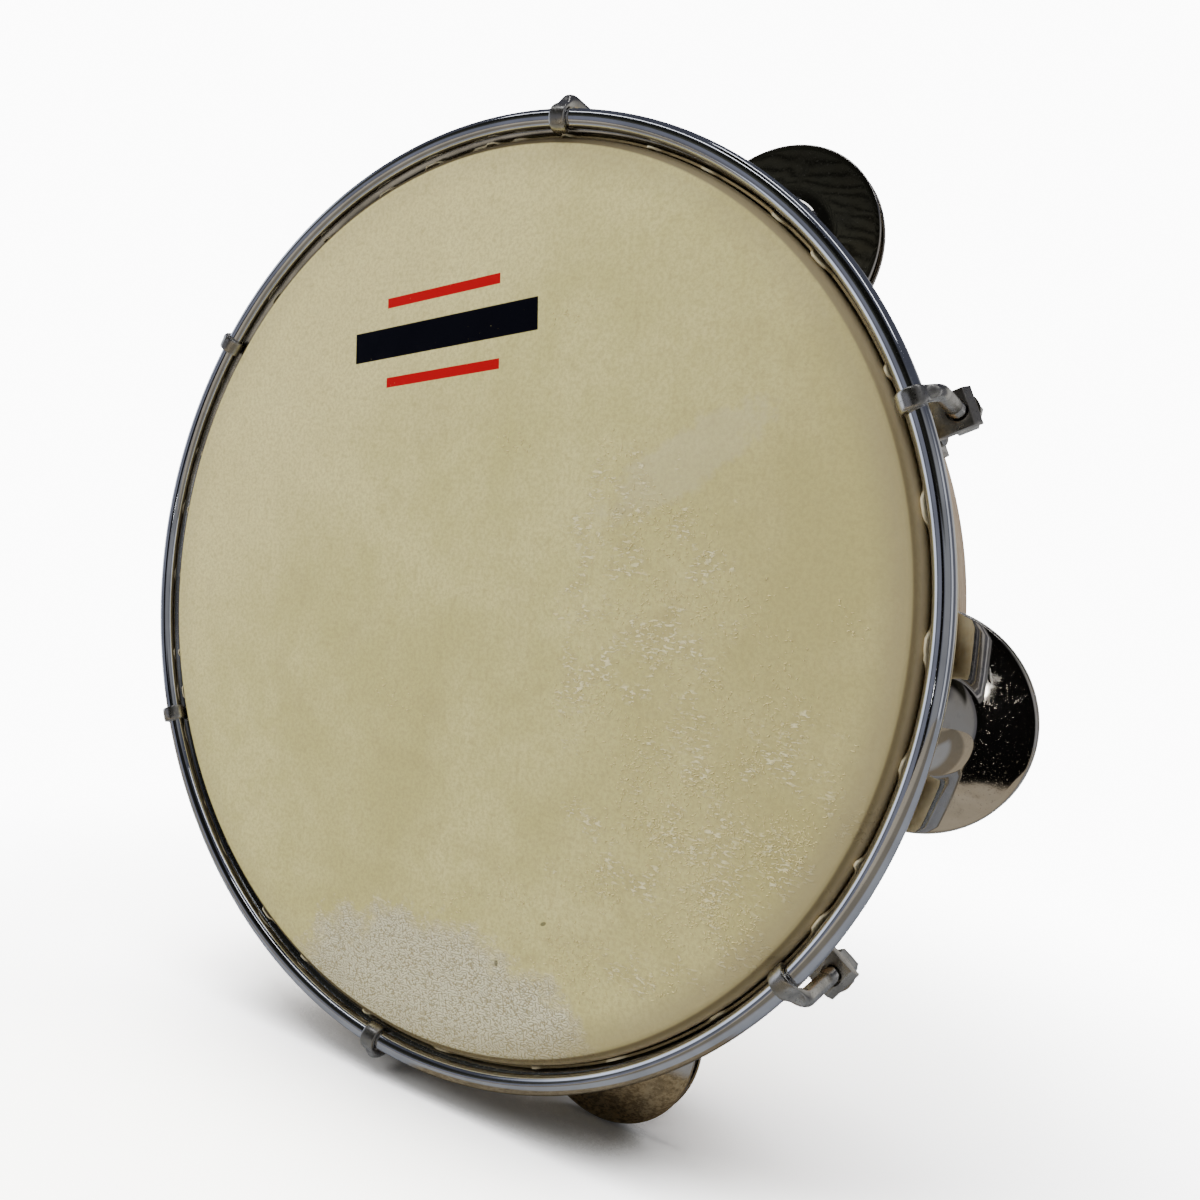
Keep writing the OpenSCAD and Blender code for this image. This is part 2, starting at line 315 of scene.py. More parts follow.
class Shader:
    """Short calls for the usual nodes of a node tree. place is the coordinate its textures use."""

    def __init__(self, tree, coordinate):
        self.tree = tree
        self.place = self.add("ShaderNodeTexCoord").outputs[coordinate]

    def add(self, kind, inputs=None, **settings):
        node = self.tree.nodes.new(kind)
        for key, value in settings.items():
            setattr(node, key, value)
        for key, value in (inputs or {}).items():
            self.plug(value, node.inputs[key])
        return node

    def out(self, kind, inputs=None, **settings):
        """First output of a new node."""
        return self.add(kind, inputs, **settings).outputs[0]

    def plug(self, value, socket):
        if isinstance(value, bpy.types.NodeSocket):
            self.tree.links.new(value, socket)
        elif isinstance(value, tuple) and len(value) == 3 and socket.type == "RGBA":
            socket.default_value = (*value, 1)
        else:
            socket.default_value = value

    def noise(self, scale, detail=2.0, rough=0.5, distort=0.0, vector=None):
        inputs = {"Vector": vector or self.place, "Scale": scale, "Detail": detail,
                  "Roughness": rough, "Distortion": distort}
        return self.add("ShaderNodeTexNoise", inputs).outputs["Fac"]

    def math(self, operation, a, b=0.0):
        return self.out("ShaderNodeMath", {0: a, 1: b}, operation=operation)

    def plus(self, a, b):
        return self.math("ADD", a, b)

    def minus(self, a, b):
        return self.math("SUBTRACT", a, b)

    def times(self, a, b):
        return self.math("MULTIPLY", a, b)

    def larger(self, a, b):
        return self.math("MAXIMUM", a, b)

    def apart(self, a, b):
        """Distance between two values."""
        return self.math("ABSOLUTE", self.minus(a, b))

    def length(self, a, b):
        """Length of the flat vector (a, b)."""
        return self.math("SQRT", self.plus(self.times(a, a), self.times(b, b)))

    def ramp(self, value, low, high, to_low=0.0, to_high=1.0):
        """Value mapped from low..high to to_low..to_high with a smooth step."""
        inputs = {"Value": value, "From Min": low, "From Max": high, "To Min": to_low, "To Max": to_high}
        return self.out("ShaderNodeMapRange", inputs, interpolation_type="SMOOTHSTEP")

    def below(self, value, low, high):
        """1 under low, 0 over high."""
        return self.ramp(value, low, high, 1.0, 0.0)

    def mix(self, share, a, b):
        node = self.add("ShaderNodeMix", data_type="RGBA")
        self.plug(share, node.inputs[0])
        self.plug(a, node.inputs[6])
        self.plug(b, node.inputs[7])
        return node.outputs[2]

    def lay(self, tone, share, strength, colour):
        """A colour laid over a tone where share is 1, at a given strength."""
        return self.mix(self.times(share, strength), tone, colour)

    def choose(self, share, a, b):
        """Shader a where share is 0 and b where it is 1."""
        return self.out("ShaderNodeMixShader", {0: share, 1: a, 2: b})

    def stretch(self, scale, turn=(0, 0, 0), shift=(0, 0, 0)):
        """The piece's coordinates moved, turned and stretched."""
        inputs = {"Vector": self.place, "Location": shift, "Rotation": turn, "Scale": scale}
        return self.out("ShaderNodeMapping", inputs)

    def split(self, vector=None):
        node = self.add("ShaderNodeSeparateXYZ", {0: vector or self.place})
        return node.outputs[0], node.outputs[1], node.outputs[2]

    def bump(self, height, distance, strength=1.0, normal=None):
        inputs = {"Height": height, "Distance": distance, "Strength": strength}
        if normal:
            inputs["Normal"] = normal
        return self.out("ShaderNodeBump", inputs)


class Material(Shader):
    """A node material with a Principled surface."""

    def __init__(self, name, metallic=0.0, roughness=0.5):
        self.material = bpy.data.materials.new(name)
        self.material.use_nodes = True
        super().__init__(self.material.node_tree, "Object")
        self.surface = self.tree.nodes["Principled BSDF"]
        self.set(Metallic=metallic, Roughness=roughness)

    def set(self, **inputs):
        for key, value in inputs.items():
            self.plug(value, self.surface.inputs[key.replace("_", " ")])


def dim(colour, share):
    return tuple(c * share for c in colour)


def chrome_material(name, tint, roughness, ripple, wear):
    """Plated steel: a tinted mirror with slight ripple, hazy patches and fine dust."""
    m = Material(name, metallic=1.0, roughness=roughness)
    patches = m.noise(60, 3, 0.6)
    fine = m.noise(900, 2, 0.6)
    dust = m.ramp(m.noise(2600, 1, 0.5), 0.66, 0.72)
    m.set(Base_Color=m.mix(m.ramp(patches, 0.35, 0.7), tint, dim(tint, 1 - wear)))
    haze = m.ramp(patches, 0.3, 0.8, roughness, roughness + 0.10 * wear + 0.02)
    m.set(Roughness=m.plus(haze, m.times(dust, 0.12)))
    wavy = m.bump(m.noise(45, 1, 0.4), ripple)
    m.set(Normal=m.bump(fine, 0.002 * MM, 0.6, wavy))
    return m.material


def nickel_material(name, tint, roughness, dent=0.02 * MM):
    """Cast or forged steel with dull nickel plate: soft dents, darker patches and dark pits."""
    m = Material(name, metallic=1.0, roughness=roughness)
    patches = m.noise(160, 4, 0.65)
    pits = m.ramp(m.noise(1500, 2, 0.6), 0.60, 0.70)
    tones = m.mix(m.ramp(patches, 0.35, 0.68), tint, dim(tint, 0.62))
    m.set(Base_Color=m.lay(tones, pits, 0.5, dim(tint, 0.35)))
    m.set(Roughness=m.ramp(patches, 0.3, 0.7, roughness, roughness + 0.18))
    dented = m.bump(m.noise(260, 2, 0.5), dent)
    m.set(Normal=m.bump(m.noise(1400, 2, 0.6), 0.006 * MM, 0.7, dented))
    return m.material


def on_head(m, place, turn):
    """Coordinates on the head from a point (x, z), along and across a line at an angle in degrees."""
    x, _, z = m.split()
    c, s = cos(radians(turn)), sin(radians(turn))
    dx, dz = m.minus(x, place[0]), m.minus(z, place[1])
    return m.plus(m.times(dx, c), m.times(dz, s)), m.plus(m.times(dx, -s), m.times(dz, c))


def head_patch(m, place, size, turn, ragged, rough_scale=60):
    """1 inside a soft, ragged oval on the head, 0 outside. place and size are (x, z)."""
    along, across = on_head(m, place, turn)
    far = m.length(m.times(along, 1 / size[0]), m.times(across, 1 / size[1]))
    edge = m.times(m.minus(m.noise(rough_scale, 5, 0.75), 0.5), 2 * ragged)
    return m.below(m.plus(far, edge), 0.80, 1.12)


brown = (0.40, 0.330, 0.150)


def skin_ground(m, x, z, mottle):
    """Cream with khaki clouds, brown stains and grain, with painted light at the upper left and painted shade
    towards the right.
    """
    cream = (0.720, 0.665, 0.290)
    painted_light_cream = (0.80, 0.71, 0.36)
    khaki = (0.570, 0.525, 0.205)
    broad = m.noise(16, 4, 0.62, 0.4)
    tone = m.mix(m.ramp(broad, 0.38, 0.68), cream, khaki)
    tone = m.lay(tone, m.ramp(mottle, 0.42, 0.64), 0.50, khaki)
    stains = m.noise(30, 3, 0.7, 0.8, m.stretch((1, 1, 1.3), shift=(0.4, 0, 0.7)))
    tone = m.lay(tone, m.ramp(stains, 0.54, 0.74), 0.26, brown)
    # Painted light: the upper left is laid over with a paler cream.
    painted_light_upper_left = m.ramp(m.minus(z, x), 0.03, 0.15)
    tone = m.lay(tone, painted_light_upper_left, 0.6, painted_light_cream)
    # Painted shade: darker towards the right.
    painted_shade_right = m.ramp(x, 0.02, 0.13)
    tone = m.lay(tone, painted_shade_right, 0.36, brown)
    tone = m.lay(tone, m.ramp(m.noise(900, 3, 0.75), 0.40, 0.62), 0.42, brown)
    return m.lay(tone, m.ramp(m.noise(330, 3, 0.65), 0.50, 0.70), 0.30, brown)


def skin_marks(m, tone):
    """Lays a grey smear, the pebbled patch, flecks of stubble and a few specks over the skin's tone.

    Also returns the heights of the pebbles and of the flecks, for the bump."""
    grey = (0.60, 0.55, 0.36)
    pale = (0.83, 0.80, 0.64)
    crease_brown = (0.32, 0.265, 0.135)
    straw = (0.86, 0.79, 0.47)
    spot_black = (0.06, 0.06, 0.035)

    smear = head_patch(m, (0.067, 0.038), (0.024, 0.008), 33, 0.8)
    tone = m.lay(tone, smear, 0.32, grey)

    pebbled = head_patch(m, (0.006, -0.118), (0.054, 0.027), -4, 0.65)
    wide = m.stretch((0.85, 1, 1.35), turn=(0, radians(8), 0))
    worms = m.apart(m.noise(980, 0, 0.5, 0.0, wide), 0.5)
    creases = m.below(worms, 0.02, 0.10)
    tone = m.lay(tone, pebbled, 0.66, pale)
    tone = m.lay(tone, m.times(pebbled, creases), 0.85, crease_brown)

    stubble_mid = head_patch(m, (0.060, 0.000), (0.026, 0.040), 10, 1.3)
    stubble_low = head_patch(m, (0.088, -0.056), (0.040, 0.034), 20, 1.2)
    clumps = m.ramp(m.noise(85, 3, 0.6), 0.47, 0.60)
    rim = m.times(m.times(pebbled, m.minus(1.0, pebbled)), 3.0)
    stubble = m.larger(m.times(m.larger(stubble_low, stubble_mid), clumps), rim)
    lying = m.stretch((0.75, 1, 1.8), turn=(0, radians(-12), 0))
    flecks = m.times(m.ramp(m.noise(720, 2, 0.55, 0.6, lying), 0.54, 0.60), stubble)
    tone = m.lay(tone, stubble, 0.28, brown)
    tone = m.lay(tone, flecks, 0.90, straw)

    specks = m.ramp(m.noise(420, 1, 0.5), 0.765, 0.79)
    tone = m.lay(tone, specks, 0.35, brown)
    spots = m.larger(head_patch(m, (0.0391, -0.0832), (0.0010, 0.0005), 30, 0.2, 900),
                     head_patch(m, (0.0253, -0.0974), (0.0006, 0.0008), 0, 0.2, 900))
    tone = m.lay(tone, spots, 0.7, spot_black)
    return tone, m.times(m.ramp(worms, 0.0, 0.16), pebbled), flecks


def skin_border(m, tone, x, y, z):
    """Paints shade on the skin towards the shell's edge, along the fold and over the skirt, and colours the
    cut edge, with painted shade on its deeper part.
    """
    shadow = (0.36, 0.305, 0.165)
    fold_shade_dark, fold_shade_deep, fold_shade_pale = (0.205, 0.165, 0.088), (0.09, 0.072, 0.04), (0.42, 0.355, 0.215)
    skirt_shade = (0.56, 0.47, 0.29)
    rind_light, rind_dark = (0.78, 0.72, 0.52), (0.55, 0.48, 0.30)
    wrap_painted_shade = (0.40, 0.325, 0.180)

    radius = m.length(x, z)
    upper_right = m.times(m.ramp(x, 0.01, 0.07), m.ramp(z, 0.03, 0.08))
    shade = m.ramp(radius, face_r - 10 * MM, face_r + 0.8 * MM)
    shade = m.times(shade, m.ramp(upper_right, 0.0, 1.0, 1.0, 0.45))
    tone = m.mix(m.times(shade, m.ramp(x, -0.02, 0.10, 0.25, 0.85)), tone, shadow)
    # Painted shade along the fold past the crest: darkest just past it, deepest on the left and at the top,
    # paler further out and at the upper right.
    fold = m.mix(m.ramp(radius, face_r + 1.6 * MM, face_r + 3.4 * MM), fold_shade_dark, skirt_shade)
    side = m.minus(x, m.times(z, 0.5))
    fold = m.mix(m.ramp(side, -0.02, 0.10), fold_shade_deep, fold)
    fold = m.lay(fold, upper_right, 0.5, fold_shade_pale)
    tone = m.mix(m.ramp(radius, face_r + 0.9 * MM, face_r + 1.5 * MM), tone, fold)
    edging = m.ramp(radius, shell_r + 0.70 * MM, shell_r + 0.85 * MM)
    rind = m.mix(m.noise(400, 3, 0.6), rind_light, rind_dark)
    # The cut edge is pale at its front, with a painted shade on its deeper part.
    wrapped = m.times(m.ramp(y, 2.4 * MM, 3.6 * MM), m.below(y, 8 * MM, 11 * MM))
    return m.mix(edging, tone, m.mix(wrapped, rind, wrap_painted_shade))


def skin_material():
    """Natural drum skin: mottled cream, pebbled hair side in places, stubble and a printed mark."""
    ink_black, ink_red = (0.001, 0.001, 0.004), (0.42, 0.001, 0.006)
    m = Material("skin", roughness=0.5)
    x, y, z = m.split()
    mottle = m.noise(55, 5, 0.68, 0.2)
    tone, pebbles, flecks = skin_marks(m, skin_ground(m, x, z, mottle))
    tone = skin_border(m, tone, x, y, z)

    facing = m.split(m.add("ShaderNodeNewGeometry").outputs["True Normal"])[1]
    printed_side = m.ramp(facing, -0.2, 0.2, 1.0, 0.10)
    black, red = (m.times(ink, printed_side) for ink in mark_ink(m))
    ink = m.larger(black, red)
    m.set(Base_Color=m.mix(red, m.mix(black, tone, ink_black), ink_red))
    m.set(Roughness=m.plus(m.ramp(mottle, 0.3, 0.8, 0.48, 0.66), m.times(ink, 0.1)))
    m.set(Subsurface_Weight=m.times(m.minus(1.0, ink), 0.10))
    m.set(Subsurface_Radius=(0.9, 0.6, 0.35))
    m.set(Subsurface_Scale=0.5 * MM)
    sheen = m.ramp(m.length(x, z), face_r - 1.5 * MM, face_r, 0.32, 0.08)
    m.set(Specular_IOR_Level=m.times(sheen, m.minus(1.0, m.times(ink, 0.7))))

    soft = m.bump(m.noise(90, 4, 0.6), 0.08 * MM)
    tooth = m.bump(m.noise(1300, 3, 0.65), 0.03 * MM, 0.8, soft)
    beads = m.bump(pebbles, 0.16 * MM, 1.0, tooth)
    m.set(Normal=m.bump(flecks, 0.12 * MM, 1.0, beads))
    return m.material


def mark_ink(m):
    """Shares of black and red ink of a plain mark on the head: one black bar between two thin red ones."""
    half_length = 34 * MM
    along, across = on_head(m, (-0.0150, 0.0745), 5.6)
    soft = 0.12 * MM
    worn = m.ramp(m.noise(800, 3, 0.7), 0.25, 0.31)

    def bar(offset, half_width, length):
        off = m.apart(across, offset)
        inside = m.below(off, half_width - soft, half_width + soft)
        ends = m.below(m.math("ABSOLUTE", along), length - soft, length + soft)
        return m.times(m.times(inside, ends), worn)

    step = 12 * MM
    red = m.larger(bar(step, 1.5 * MM, half_length * 0.62), bar(-step, 1.5 * MM, half_length * 0.62))
    return bar(0.0, 4.6 * MM, half_length), red


def wood_material():
    """Bent wooden shell: long grain around the drum, thin plies on its back edge, a clear varnish."""
    m = Material("shell_wood", roughness=0.4)
    x, y, z = m.split()
    radius = m.length(x, z)
    angle = m.math("ARCTAN2", z, x)
    polar = m.out("ShaderNodeCombineXYZ", {0: m.times(angle, shell_r * 0.06), 1: y, 2: radius})
    streak = m.noise(420, 5, 0.65, 0.6, polar)
    broad = m.noise(60, 3, 0.5, 0.5, polar)
    light = (0.60, 0.42, 0.23)
    mid = (0.44, 0.27, 0.13)
    dark = (0.28, 0.15, 0.065)
    tone = m.mix(m.ramp(broad, 0.3, 0.7), light, mid)
    tone = m.lay(tone, m.ramp(streak, 0.45, 0.75), 0.6, dark)
    pores = m.ramp(m.noise(1500, 2, 0.5, 0.0, polar), 0.60, 0.66)
    tone = m.lay(tone, pores, 0.45, dark)
    ply = m.math("FRACT", m.times(radius, 1 / (1.35 * MM)))
    plies = m.ramp(m.apart(ply, 0.5), 0.40, 0.48)
    faces_back = m.ramp(y, shell_back - 0.9 * MM, shell_back - 0.5 * MM)
    tone = m.lay(tone, m.times(plies, faces_back), 0.75, dark)
    m.set(Base_Color=tone)
    m.set(Roughness=m.ramp(streak, 0.3, 0.7, 0.34, 0.5))
    m.set(Coat_Weight=0.25, Coat_Roughness=0.22)
    grain = m.bump(streak, 0.03 * MM, 0.8)
    m.set(Normal=m.bump(pores, -0.03 * MM, 0.8, grain))
    return m.material


def jingle_material(name, tint, roughness):
    """Bright plate on thin spun sheet: a wavy, stained and dusty mirror."""
    m = Material(name, metallic=1.0, roughness=roughness)
    broad = m.noise(70, 3, 0.6, 0.6)
    stain = m.ramp(m.noise(150, 5, 0.7, 0.5), 0.52, 0.75)
    tone = m.mix(m.ramp(broad, 0.35, 0.7), tint, tuple(c * f for c, f in zip(tint, (0.92, 0.86, 0.78))))
    m.set(Base_Color=m.lay(tone, stain, 0.35, dim(tint, 0.55)))
    dust = m.ramp(m.noise(2200, 1, 0.5), 0.66, 0.72)
    m.set(Roughness=m.plus(m.ramp(stain, 0, 1, roughness, roughness + 0.10), m.times(dust, 0.14)))
    wavy = m.bump(m.noise(120, 2, 0.5, 0.3), 0.006 * MM)
    m.set(Normal=m.bump(m.noise(1600, 2, 0.5), 0.0008 * MM, 0.6, wavy))
    return m.material


# -------------------- skin

def offset_loop(path, half):
    """The two sides of a sheet whose middle line is an open (radius, depth) path."""
    left, right = [], []
    for i, (r, y) in enumerate(path):
        r0, y0 = path[max(i - 1, 0)]
        r1, y1 = path[min(i + 1, len(path) - 1)]
        length = hypot(r1 - r0, y1 - y0)
        nr, ny = (y1 - y0) / length, -(r1 - r0) / length
        left.append((r + nr * half, y + ny * half))
        right.append((r - nr * half, y - ny * half))
    return left, right


def edge_lobes(seed):
    """Angle, width and height of each lobe along the skin's trimmed edge, one square tab at the top first."""
    rng = random.Random(seed)
    lobes = [(radians(92.1), radians(1.0), 1.0)]
    angle = 0.0
    while angle < 2 * pi:
        lobes.append((angle, radians(rng.uniform(0.6, 1.5)), rng.uniform(0.5, 1.0)))
        angle += radians(rng.uniform(6, 15))
    return lobes


def lobe_height(angle, lobes):
    height = 0.0
    for centre, width, size in lobes:
        off = abs((angle - centre + pi) % (2 * pi) - pi) / width
        if off < 1.6:
            height = max(height, size / (1 + off ** 6))
    return height


def skin_path(lobe, waver):
    """Middle line of the skin from the centre of the head to its trimmed edge inside the hoop."""
    half = skin_t / 2
    edge_y = shell_front + edge_round
    skirt_r = shell_r + 0.05 * MM + half
    turn = skirt_r - face_r
    wrap = lap_half - half
    path = [(face_r * k / 24, half) for k in range(1, 24)]
    path += arc(face_r, edge_y, turn, -90, 0, 12)
    path += [(skirt_r, edge_y + (8.5 * MM - edge_y) * k / 4) for k in range(1, 5)]
    path += arc(wire_r, wire_y, wrap, 188, -120, 26)
    sleeve_r, sleeve_y = path[-1]
    end_y = (4.2 - 2.8 * lobe + 0.3 * waver) * MM
    end_r = band_in - (1.05 + 0.65 * lobe) * MM
    for k in range(1, 11):
        t = k / 10
        path.append((sleeve_r + (end_r - sleeve_r) * t ** 2, sleeve_y + (end_y - sleeve_y) * t))
    return path


def make_skin(material):
    """The head: one sheet that turns over the shell, wraps the flesh hoop and ends inside the band."""
    segments = 720
    lobes = edge_lobes(5)
    verts = [(0, 0, 0), (0, skin_t, 0)]
    for angle in full_turn(segments):
        waver = noise.noise(Vector((7 * cos(angle), 7 * sin(angle), 0)))
        left, right = offset_loop(skin_path(lobe_height(angle, lobes), waver), skin_t / 2)
        verts += [turned(r, y, angle) for r, y in left + right[::-1]]
    count = (len(verts) - 2) // segments
    faces = []
    for s in range(segments):
        a, b = 2 + s * count, 2 + (s + 1) % segments * count
        faces += [(a + j, b + j, b + j + 1, a + j + 1) for j in range(count - 1)]
        faces.append((0, b, a))
        faces.append((1, a + count - 1, b + count - 1))
    skin = new_object("skin", verts, faces, material)
    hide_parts("head_skin", "skin_lap")
    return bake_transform(skin)


def make_stubble(material):
    """Short pale stumps of hair that lie on the skin in loose clumps.

    Each area is (x, z, spread in x, spread in z, number of clumps)."""
    rng = random.Random(11)
    limit_r = 119 * MM
    areas = [(0.088, -0.056, 0.020, 0.018, 120), (0.060, 0.000, 0.013, 0.022, 50),
             (0.045, -0.092, 0.016, 0.010, 16), (0.095, -0.020, 0.010, 0.020, 14), (0.0, 0.0, 0.05, 0.05, 6)]
    verts, faces = [], []
    for px, pz, spread_x, spread_z, clumps in areas:
        for _ in range(clumps):
            cx, cz = rng.gauss(px, spread_x), rng.gauss(pz, spread_z)
            turn = radians(rng.gauss(-8, 22))
            for _ in range(rng.randint(6, 30)):
                u, v = rng.gauss(0, 4.5 * MM), rng.gauss(0, 2.2 * MM)
                x = cx + u * cos(turn) - v * sin(turn)
                z = cz + u * sin(turn) + v * cos(turn)
                if hypot(x, z) < limit_r:
                    add_hair(verts, faces, x, z, turn + rng.gauss(0, 0.55), rng)
    stubble = new_object("skin_stubble", verts, faces, material)
    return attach(stubble, "shell")


def add_hair(verts, faces, x, z, lean, rng):
    """One short, slightly curled stump, three-sided and narrow at both ends."""
    length = rng.uniform(0.4, 1.1) * MM
    half = rng.uniform(0.09, 0.16) * MM
    curl = rng.uniform(-0.6, 0.6)
    along = Vector((cos(lean), 0, sin(lean)))
    side = Vector((-along.z, 0, along.x))
    lift = Vector((0, -1, 0))
    start = len(verts)
    for t, width in ((-0.5, 0.25), (-0.2, 1.0), (0.2, 0.9), (0.5, 0.2)):
        centre = Vector((x, -0.02 * MM, z)) + along * (t * length) + side * (t * t * length * curl)
        verts += [centre + direction * half * width for direction in (side, lift, -side)]
    for k in range(3):
        a, b = start + 3 * k, start + 3 * k + 3
        faces += [(a + j, a + (j + 1) % 3, b + (j + 1) % 3, b + j) for j in range(3)]
    faces += [(start, start + 1, start + 2), (start + 11, start + 10, start + 9)]


# -------------------- shell

def slot_cutter(angle):
    """A stadium-shaped block that opens one jingle slot through the wall."""
    straight = slot_half_l - slot_half_w
    outline = arc(straight, slot_mid, slot_half_w, -90, 90, 24)
    outline += arc(-straight, slot_mid, slot_half_w, 90, 270, 24)
    rings = [[(x, y, t) for t, y in outline] for x in (shell_r - shell_wall - 12 * MM, shell_r + 6 * MM)]
    return put(loft("slot_cutter", rings, None), around(angle))


def bar_cutter(matrix, radius, start, end, count=32):
    """A round bar along local X, for holes."""
    rings = [[(x, a, b) for a, b in circle_loop(0, 0, radius, count)] for x in (start, end)]
    return put(loft("bar_cutter", rings, None), matrix)


def rounded_profile(low_r, low_y, high_r, high_y, rounds):
    """Closed rectangle in (radius, depth) with its own rounding at each corner.

    rounds are for inner front, outer front, outer back and inner back."""
    a, b, c, d = rounds
    return (arc(low_r + a, low_y + a, a, 180, 270, 6) + arc(high_r - b, low_y + b, b, 270, 360, 10)
            + arc(high_r - c, high_y - c, c, 0, 90, 6) + arc(low_r + d, high_y - d, d, 90, 180, 6))


def make_shell(material):
    """The bent wall with its jingle slots, the pins' holes, open at the back, and those of the screws."""
    corners = (0.8 * MM, edge_round, 1.0 * MM, 1.2 * MM)
    pin_hole_front, screw_hole = 5.6 * MM, 2.1 * MM
    profile = rounded_profile(shell_r - shell_wall, shell_front, shell_r, shell_back, corners)
    shell = lathe("shell_wood", profile, material, 360)
    cutters = [slot_cutter(angle) for angle in set_angles]
    for angle in set_angles:
        hole = beside(angle, pin_r, 0) @ x_to_y
        cutters.append(bar_cutter(hole, pin_hole, pin_hole_front, shell_back + MM))
    for angle in hook_angles:
        hole = beside(angle, 0, screw_y)
        cutters.append(bar_cutter(hole, screw_hole, shell_r - shell_wall - 2 * MM, shell_r + 2 * MM))
    cut(shell, cutters)
    bevel(shell, 0.45 * MM, 2, 50)
    bake_modifiers(shell)
    return finish(shell, 50, "shell_wood", "shell", "shell")


# -------------------- hoop

def make_hoop(chrome, band_chrome):
    """The round front rod and the flat band it is welded on."""
    def settle(r, y, angle):
        """Bent by hand over a former: the rod isn't a perfect ring."""
        wave = noise.noise(Vector((2.5 * cos(angle), 2.5 * sin(angle), 3)))
        return r + 0.04 * MM * wave, y + 0.03 * MM * wave

    rod = lathe("hoop_rod_chrome", circle_loop(rod_r, rod_y, rod_half, 40), chrome, 540, settle)
    finish(rod, None, "hoop_chrome", "hoop", "hoop_rod")

    seat = rod_half + 0.06 * MM
    outer_reach = rod_y + sqrt(seat ** 2 - (rod_r - band_out) ** 2)
    inner_reach = rod_y + sqrt(max(seat ** 2 - (rod_r - band_in) ** 2, 0))
    round_back = 0.5 * MM
    back = arc(band_out - round_back, band_back - round_back, round_back, 0, 90, 5)
    back += arc(band_in + round_back, band_back - round_back, round_back, 90, 180, 5)
    top = [(band_in + (band_out - band_in) * k / 4, inner_reach + (outer_reach - inner_reach) * k / 4)
           for k in range(5)]
    band = lathe("hoop_band_chrome", top + back, band_chrome, 540)
    return finish(band, None, "hoop_chrome", "hoop", "hoop_band")


# -------------------- hooks, lugs and fasteners

def saw(turns):
    """Height of a thread's flank, 0 at the root and 1 at the crest, for a position counted in turns."""
    return 1 - abs(2 * (turns % 1.0) - 1)


def ease(value, low, high):
    """0 to 1 between low and high, starting and ending gently."""
    t = min(max((value - low) / (high - low), 0), 1)
    return t * t * (3 - 2 * t)


def hook_stations():
    """Middle line of a hook with its section at each point.

    Each station is (radius, depth, direction, half width, half thickness, power of the rounding)."""
    tip_steps, claw_steps, run_steps, bend_steps = 3, 32, 8, 8
    claw_end = tip_steps + claw_steps
    run_end = claw_end + run_steps
    claw_half_w, claw_half_t = 2.4 * MM, 0.7 * MM
    claw = rod_half + 0.05 * MM + claw_half_t
    leave = radians(35)
    bend = 4 * MM
    run = (shank_r - rod_r - claw * cos(leave) - bend * (1 - cos(leave))) / sin(leave)
    path = [(rod_r - claw, rod_y + 0.6 * MM * (1 - k / tip_steps), -pi / 2) for k in range(tip_steps)]
    for k in range(claw_steps + 1):
        a = pi + (pi - leave) * k / claw_steps
        path.append((rod_r + claw * cos(a), rod_y + claw * sin(a), a + pi / 2))
    start_r, start_y, heading = path[-1]
    for k in range(1, run_steps + 1):
        step = run * k / run_steps
        path.append((start_r + step * cos(heading), start_y + step * sin(heading), heading))
    end_y = path[-1][1]
    for k in range(1, bend_steps + 1):
        a = leave * (1 - k / bend_steps)
        path.append((shank_r - bend + bend * cos(a), end_y + bend * (sin(leave) - sin(a)), 2.5 * pi - a))
    last = len(path) - 1
    stations = []
    for i, (r, y, direction) in enumerate(path):
        thicken, narrow = ease(i, claw_end, run_end), ease(i, claw_end - 9, run_end + 2)
        waist = 0.12 * MM * sin(pi * ease(i, claw_end - 9, last))
        tip = sin(pi / 2 * min((i + 0.4) / tip_steps, 1))
        half_w = (claw_half_w + (shank_half - claw_half_w) * narrow - waist) * (0.55 + 0.45 * tip)
        half_t = (claw_half_t + (shank_half - claw_half_t) * thicken) * (0.5 + 0.5 * tip)
        stations.append((r, y, direction, half_w, half_t, 4.5 - 2.5 * narrow))
    return stations


def hook_ring(station):
    """Rounded section around one point of the hook's middle line."""
    r, y, direction, half_w, half_t, power = station
    nr, ny = -sin(direction), cos(direction)
    ring = []
    for a in full_turn(hook_sides):
        c, s = cos(a), sin(a)
        u = copysign(abs(c) ** (2 / power), c) * half_w
        v = copysign(abs(s) ** (2 / power), s) * half_t
        ring.append((r + nr * v, y + ny * v, u))
    return ring


def shank_rings(start_y):
    """Rings down the shank, with a real helical thread on its back half and a chamfered end."""
    end_y = back_of("tension_hook_1")
    thread_from = 15 * MM
    step = thread_pitch / 7
    rings = []
    y = start_y
    while y < end_y:
        cut_in = min(max((y - thread_from) / MM, 0), 1)
        chamfer = max(y - (end_y - 0.6 * MM), 0)
        ring = []
        for k, a in enumerate(full_turn(hook_sides)):
            groove = thread_depth * cut_in * (1 - saw(y / thread_pitch + k / hook_sides))
            radius = shank_half - groove - chamfer
            ring.append((shank_r - sin(a) * radius, y, cos(a) * radius))
        rings.append(ring)
        y += step if y > thread_from - MM else MM
    return rings


def make_hook(k, material):
    """A flat claw over the rod that narrows to a round, threaded shank."""
    stations = hook_stations()
    rings = [hook_ring(s) for s in stations]
    rings += shank_rings(stations[-1][1] + 0.3 * MM)
    hook = loft(f"tension_hook_{k}_forged", rings, material)
    put(hook, around(hook_angles[k - 1]))
    return finish(hook, 55, "hook_nickel", "hoop", f"tension_hook_{k}")


